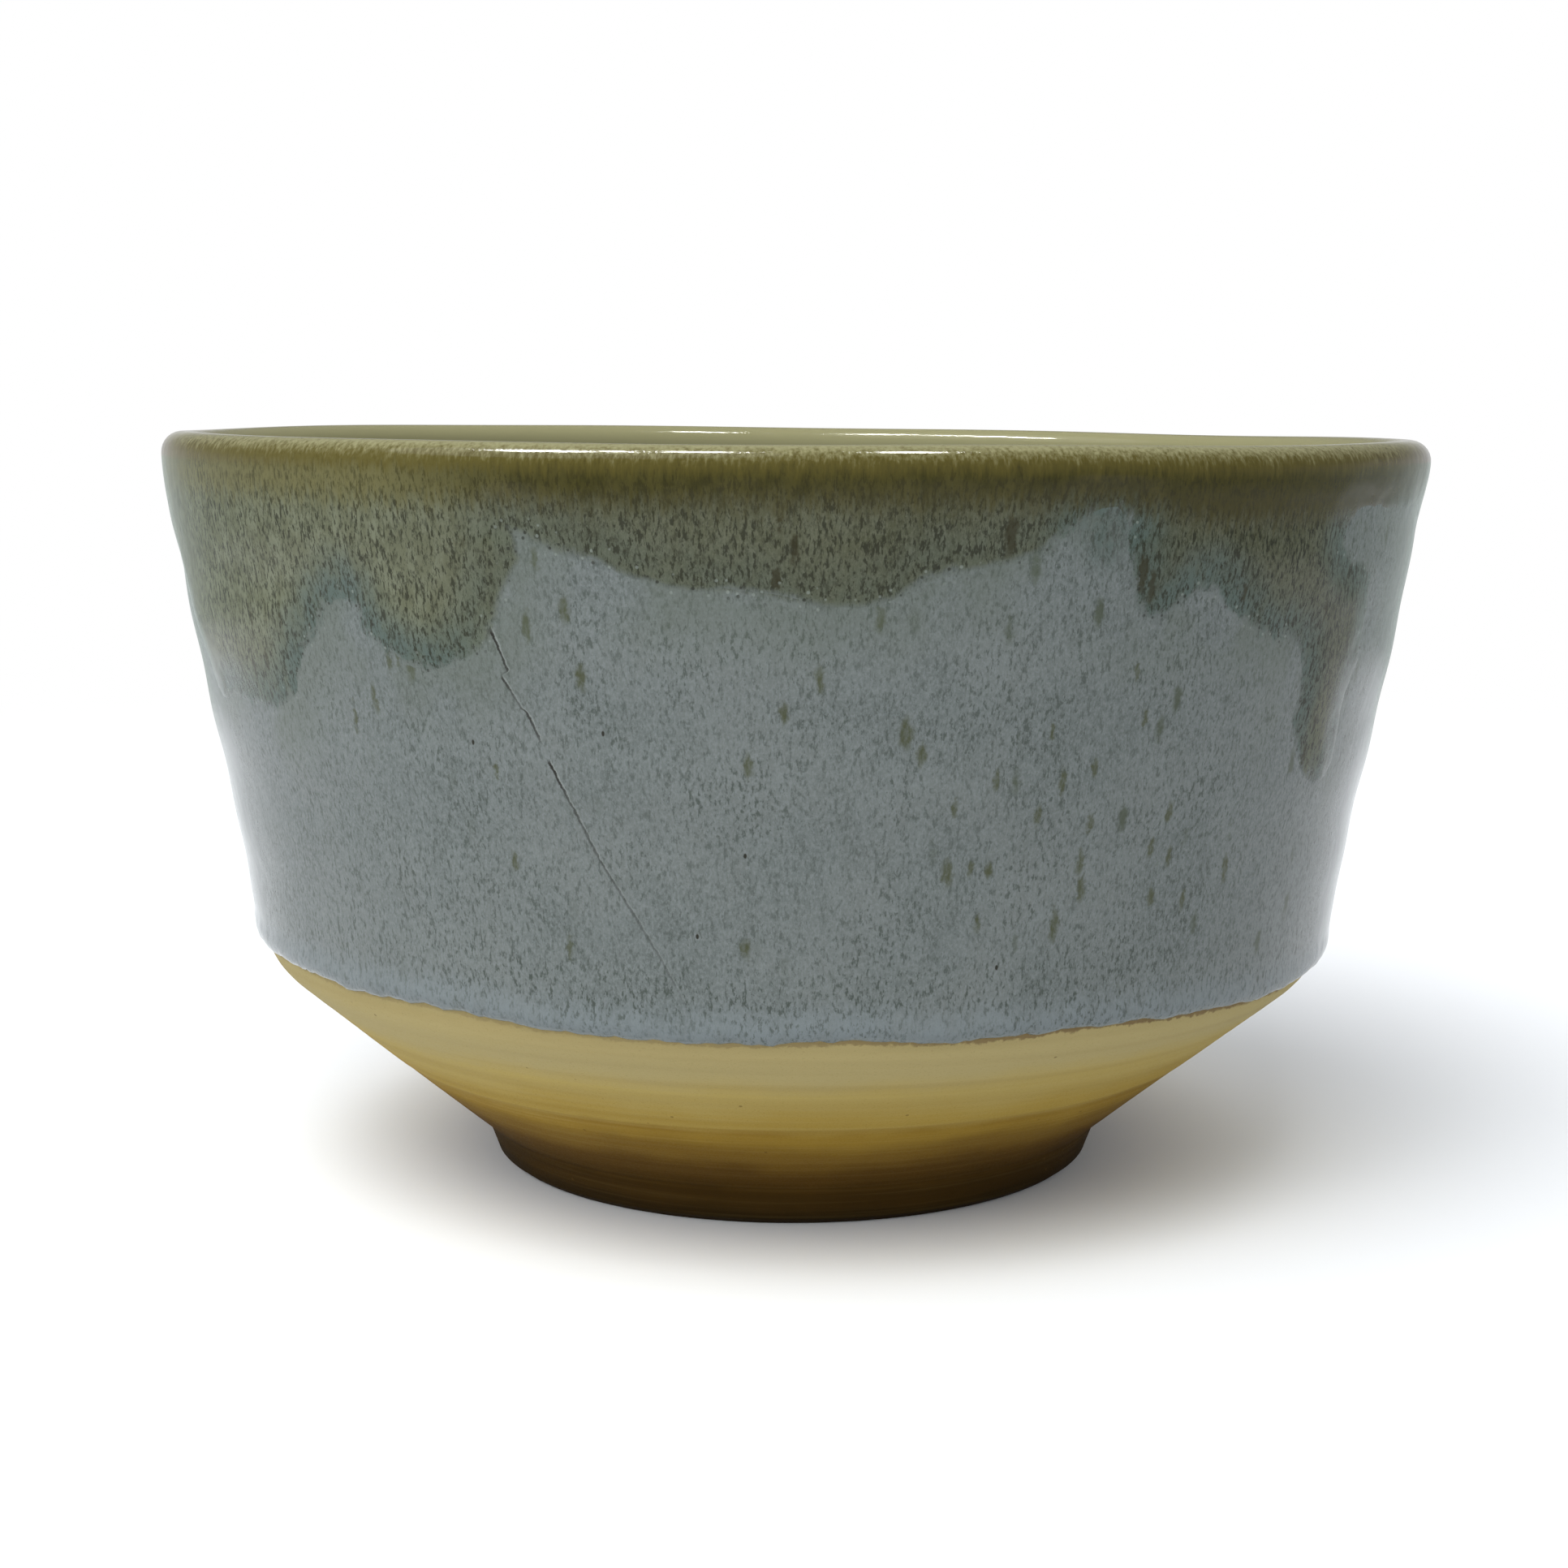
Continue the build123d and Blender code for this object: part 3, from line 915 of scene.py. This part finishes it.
    def lip(self, base):
        """Amber below the lip, deepest at the right, then a golden line, a pale lip and the band inside."""
        crown = self.mark("to_crown")
        below = self.math("MULTIPLY", crown, -1)
        streaky = self.noise(self.stretched(1, 1, 0.15), 2.6, 3, 0.65)
        level = self.math("ADD", below, self.around_zero(streaky, 1.8))
        amber = self.mix(self.span(self.mottle, 0.35, 0.65), *AMBER)
        # The amber is paler at the left too: partly its own beige, partly painted light from the left.
        amber = self.tint(amber, AMBER_BEIGE_AND_LIT, self.beige_and_painted_light)
        deep = self.both(self.span(self.angle, 24, 36), self.span(self.angle, 66, 54))
        amber = self.tint(amber, AMBER_DEEP, deep, 0.7)
        amber = self.tint(amber, AMBER_DASH, self.dashes, 0.6)
        level = self.math("SUBTRACT", level, self.both(deep, 1.4))
        base = self.mix(self.span(level, 6.0, 3.0), base, amber)
        pale_level = self.math("ADD", below, self.around_zero(streaky, 1.1))
        base = self.tint(base, GOLDEN, self.span(pale_level, 2.7, 1.3), 0.9)
        base = self.tint(base, PALE_LIP, self.span(pale_level, 1.6, 0.2), 0.95)
        inner = self.both(self.span(crown, 1.5, 4.0), self.span(self.past, 0.0, 2.0, 0.4, 0.9))
        return self.mix(inner, base, self.mix(self.span(streaky, 0.35, 0.65), *INSIDE_BAND))

    def flaws(self, base):
        """Pinholes, and the firing crack: painted shade in its open gap and painted light on its far side."""
        holes = self.spots(self.place, [(*pinhole, *PINHOLE_SIZE) for pinhole in PINHOLES])
        base = self.tint(base, PINHOLE, self.span(holes, 1.2, 0.7))
        points = [(height, (angle + CRACK_ANGLES) / CRACK_ANGLES) for height, angle in CRACK_LINE]
        line = self.math("MULTIPLY", self.curve(self.z, *CRACK_SPAN, points), CRACK_ANGLES)
        across = self.math("SUBTRACT", self.angle, self.math("SUBTRACT", line, CRACK_ANGLES))
        jagged = self.around_zero(self.noise(self.place, 1.8, 3, 0.7), 0.22)
        across = self.math("ADD", self.math("MULTIPLY", across, 0.95), jagged)
        gap = self.curve(self.z, *CRACK_SPAN, CRACK_OPEN)
        groove = self.both(self.span(self.math("ABSOLUTE", across), 0.17, 0.05), gap)
        far_side = self.math("ABSOLUTE", self.math("SUBTRACT", across, 0.16))
        # Painted highlight along the crack's far side; painted shade in the gap, as dark as the crack is
        # open.
        base = self.tint(base, CRACK_LIT, self.span(far_side, 0.11, 0.03), gap, 0.5)
        self.relief = self.math("ADD", self.relief, self.both(groove, 4.0))
        return self.tint(base, CRACK_SHADE, groove)

    def glossy(self, base, roughness, specular):
        """The finished material, its surface gently uneven."""
        height = self.math("ADD", self.noise(self.place, 0.33, 2), self.both(self.dust, 0.05))
        height = self.math("SUBTRACT", height, self.both(self.relief, 0.06))
        roughness = self.span(self.fine, 0.3, 0.7, *roughness)
        return self.finish(base, roughness, height, GLAZE_RELIEF, specular)


def glaze(name, outer=False, over_rim=False):
    """The material of one coat: the liner, the outer coat, or the coat over the rim."""
    paint = Glaze(name)
    base = paint.specks(paint.ground(outer), outer, over_rim)
    if outer or over_rim:
        base = paint.dip(base)
    if over_rim:
        base = paint.lip(base)
    if outer:
        base = paint.flaws(base)
    return paint.glossy(base, **(RIM_GLOSS if over_rim else WALL_GLOSS))


# Bare clay colours up the foot and the trimmed slope: height in millimetres, then the colour. Darker towards
# the foot, partly toasted clay and partly painted shade under the bowl's overhang.
TOASTED_AND_SHADED = (
    (0.8, colour(37, 26, 8)), (2.7, colour(52, 36, 9)), (5.8, colour(80, 57, 17)), (8.3, colour(108, 83, 30)),
    (10.9, colour(133, 107, 40)), (12.0, colour(150, 127, 60)), (15.9, colour(158, 140, 82)),
    (19.0, colour(153, 140, 97)),
)
# Painted light and painted shade at the trimming step.
CLAY_STEP_LIGHT = colour(150, 132, 74)
CLAY_STEP_SHADE = colour(112, 84, 30)
CLAY_LINE = colour(156, 140, 92)
CLAY_BAND = colour(90, 66, 22)
CLAY_GRAIN = colour(84, 62, 26)
CLAY_GROG = colour(80, 58, 26)
CLAY_FRINGE = colour(98, 78, 54)
CLAY_ROUGHNESS = (0.62, 0.78)
CLAY_SPECULAR = 0.05
CLAY_RELIEF = 0.04 * MM


def bare_clay():
    """Bare stoneware: buff at the hip, darker to the foot as toasted clay and painted shade, with turning
    lines, grog and a fringe on top.
    """
    paint = Paint("stoneware")
    rings = paint.node("ShaderNodeCombineXYZ", {0: paint.radius, 2: paint.z}).outputs[0]
    around = paint.vector("ADD", rings, paint.stretched(0.02, 0.02, 0))
    lines = paint.noise(around, 1.9, 4, 0.65)
    broad = paint.noise(around, 0.4, 2)
    cloud = paint.noise(paint.place, 0.10, 3)
    grain = paint.noise(paint.place, 5.0, 2, 0.7)
    level = paint.math("ADD", paint.z, paint.around_zero(cloud, 1.6))
    level = paint.math("ADD", level, paint.around_zero(lines, 0.45))
    # Darker towards the foot: toasted clay, and painted shade under the overhang.
    base = TOASTED_AND_SHADED[0][1]
    for (low, _), (high, shade) in zip(TOASTED_AND_SHADED, TOASTED_AND_SHADED[1:]):
        base = paint.mix(paint.span(level, low, high), base, shade)
    # Painted light on a ring along the trimming step, and painted shade in a band just below it.
    ring = paint.both(paint.span(paint.z, 11.3, 11.8), paint.span(paint.z, 12.6, 12.0))
    base = paint.tint(base, CLAY_STEP_LIGHT, ring, 0.25)
    cut = paint.both(paint.span(paint.z, 10.7, 11.5), paint.span(paint.z, 12.1, 11.8))
    base = paint.tint(base, CLAY_STEP_SHADE, cut, 0.35)
    calm = paint.span(paint.z, 5, 12, 0.25, 1)
    base = paint.tint(base, CLAY_LINE, paint.span(lines, 0.45, 0.75, 0, 0.18), calm)
    base = paint.tint(base, CLAY_BAND, paint.span(broad, 0.45, 0.75, 0, 0.16))
    base = paint.tint(base, CLAY_GRAIN, paint.span(grain, 0.55, 0.8, 0, 0.22))
    distance, drawn = paint.cells(paint.place, 0.5)
    grog = paint.both(paint.span(distance, 0.10, 0.05), paint.span(drawn, 0.80, 0.82), 0.6)
    base = paint.tint(base, CLAY_GROG, grog)
    ragged = paint.around_zero(paint.noise(paint.place, 1.3, 3, 0.7), 0.5)
    under = paint.math("ADD", paint.mark("below_glaze"), ragged)
    fringe = paint.both(paint.span(under, 0.5, 0.25), paint.span(paint.x, -20, 30, 0.25, 0.8))
    base = paint.tint(base, CLAY_FRINGE, fringe)
    roughness = paint.span(grain, 0.3, 0.7, *CLAY_ROUGHNESS)
    height = paint.math("ADD", paint.both(lines, calm, 0.6), paint.both(grain, 0.35))
    return paint.finish(base, roughness, height, CLAY_RELIEF, CLAY_SPECULAR)


for piece, material in (
    (stoneware, bare_clay()),
    (outside, glaze("blue_grey_glaze", outer=True)),
    (inside, glaze("liner_glaze")),
    (rim, glaze("olive_glaze", over_rim=True)),
):
    piece.data.materials.append(material)


# ---------------- floor, light and camera
WHITE = (1, 1, 1, 1)
PAPER = (0.87, 0.895, 0.925, 1)
PAPER_ROUGHNESS = 0.9
PAPER_FADE = (0.20, 0.42)  # from the bowl's axis, in metres
ROOM_FLOOR = (0.60, 0.66, 0.64, 1)
FLOOR_SIZE = 6.0


def seamless_paper():
    """White paper that fades into an even backdrop, dimmer to the bowl than to the camera."""
    material = bpy.data.materials.new("floor_paper")
    nodes = Nodes(material)
    paper = nodes.node("ShaderNodeBsdfPrincipled", {
        "Base Color": PAPER, "Roughness": PAPER_ROUGHNESS, "Specular IOR Level": 0.0,
    })
    place = nodes.node("ShaderNodeTexCoord").outputs["Object"]
    away = nodes.node("ShaderNodeVectorMath", {0: place}, operation="LENGTH").outputs["Value"]
    fade = nodes.node("ShaderNodeMapRange", {
        "Value": away, "From Min": PAPER_FADE[0], "From Max": PAPER_FADE[1],
    }, interpolation_type="SMOOTHSTEP")
    to_camera = nodes.node("ShaderNodeLightPath").outputs["Is Camera Ray"]
    backdrop = nodes.node("ShaderNodeEmission", {"Color": nodes.mix(to_camera, ROOM_FLOOR, WHITE)})
    surfaces = {0: fade.outputs[0], 1: paper.outputs[0], 2: backdrop.outputs[0]}
    blend = nodes.node("ShaderNodeMixShader", surfaces)
    nodes.node("ShaderNodeOutputMaterial", {"Surface": blend.outputs[0]})
    return material


floor_mesh = bpy.data.meshes.new("floor")
half = FLOOR_SIZE / 2
corners = [(-half, -half, 0), (half, -half, 0), (half, half, 0), (-half, half, 0)]
floor_mesh.from_pydata(corners, [], [(0, 1, 2, 3)])
floor_mesh.materials.append(seamless_paper())
floor = placed("floor", floor_mesh)

ROOM_FRONT = 0.75  # what gloss reflects: the room in front of the bowl, behind it, and from the horizon up
ROOM_BACK = 0.20
HORIZON = (0.0, 0.30)
ROOM_SOFT = 0.76  # what lights a matt surface
BACKDROP_LIGHT = 1.0  # what the camera sees


def studio():
    """A white room, its brightness set apart for gloss, for matt surfaces and for the camera."""
    world = bpy.data.worlds.new("studio")
    nodes = Nodes(world)

    def ranged(value, dark, light, span=(0.0, 1.0), smooth=False):
        inputs = {"Value": value, "From Min": span[0], "From Max": span[1], "To Min": dark, "To Max": light}
        kind = "SMOOTHSTEP" if smooth else "LINEAR"
        return nodes.node("ShaderNodeMapRange", inputs, interpolation_type=kind).outputs["Result"]

    facing = nodes.node("ShaderNodeTexCoord").outputs["Generated"]
    direction = nodes.node("ShaderNodeSeparateXYZ", {0: facing}).outputs
    path = nodes.node("ShaderNodeLightPath").outputs
    depth = ranged(direction["Y"], ROOM_FRONT, ROOM_BACK, (-1.0, 1.0))
    glossy = ranged(direction["Z"], ROOM_FLOOR[1], depth, HORIZON, smooth=True)
    lighting = ranged(path["Is Diffuse Ray"], glossy, ROOM_SOFT)
    strength = ranged(path["Is Camera Ray"], lighting, BACKDROP_LIGHT)
    background = nodes.node("ShaderNodeBackground", {"Color": WHITE, "Strength": strength})
    nodes.node("ShaderNodeOutputWorld", {"Surface": background.outputs[0]})
    return world


bpy.context.scene.world = studio()
bpy.context.scene.view_settings.view_transform = "Standard"


def lamp(name, light, place, aim=(0, 0, 0)):
    """A lamp of a light, pointed from its place at an aim."""
    made = placed(name, light)
    made.location = place
    made.rotation_euler = (Vector(aim) - Vector(place)).to_track_quat("-Z", "Y").to_euler()
    return made


def softbox(name, place, aim, width, height, power):
    """A soft area light pointed at a place."""
    light = bpy.data.lights.new(name, "AREA")
    light.shape = "RECTANGLE"
    light.size = width
    light.size_y = height
    light.energy = power
    return lamp(name, light, place, aim)


def sun(name, place, strength, spread):
    """A distant soft light shining from a place towards the bowl, its spread in degrees."""
    light = bpy.data.lights.new(name, "SUN")
    light.energy = strength
    light.angle = math.radians(spread)
    return lamp(name, light, place)


sun("sky_panel", (-0.50, -0.20, 1.0), 1.0, 50)
fill = softbox("front_fill", (-0.20, -0.62, 0.80), (0, 0, 0), 0.60, 0.60, 5.2)
fill.visible_glossy = False
left = softbox("left_panel", (-0.42, -0.32, 0.20), (0, 0, 0.05), 0.30, 0.40, 0.8)
left.visible_glossy = False

# A row of lamps overhead, seen only as the broken glints along the lip.
GLINT_HEIGHT = 0.80
GLINT_Y = -0.05
GLINT_DEPTH = 0.12
GLINT_BRIGHTNESS = 100
GLINT_SPANS = ((-0.454, -0.282), (-0.246, -0.207), (-0.164, -0.082), (0.108, 0.186))
for number, (left_end, right_end) in enumerate(GLINT_SPANS):
    place = ((left_end + right_end) / 2, GLINT_Y, GLINT_HEIGHT)
    width = right_end - left_end
    power = GLINT_BRIGHTNESS * math.pi * width * GLINT_DEPTH
    glint = softbox(f"glint_{number}", place, (*place[:2], 0), width, GLINT_DEPTH, power)
    glint.visible_diffuse = False

CAMERA_DISTANCE = 256.85 * MM
CAMERA_HEIGHT = 73.61 * MM
CAMERA_PITCH = 8.365  # degrees, as is the pan
CAMERA_PAN = 0.17
CAMERA_LENS = 60.2
CAMERA_SENSOR = 36
camera_data = bpy.data.cameras.new("camera")
camera_data.lens = CAMERA_LENS
camera_data.sensor_width = CAMERA_SENSOR
camera_data.clip_start = 0.01
camera = placed("camera", camera_data)
camera.location = (0, -CAMERA_DISTANCE, CAMERA_HEIGHT)
camera.rotation_euler = (math.radians(90 - CAMERA_PITCH), 0, math.radians(CAMERA_PAN))
bpy.context.scene.camera = camera

bpy.context.view_layer.update()
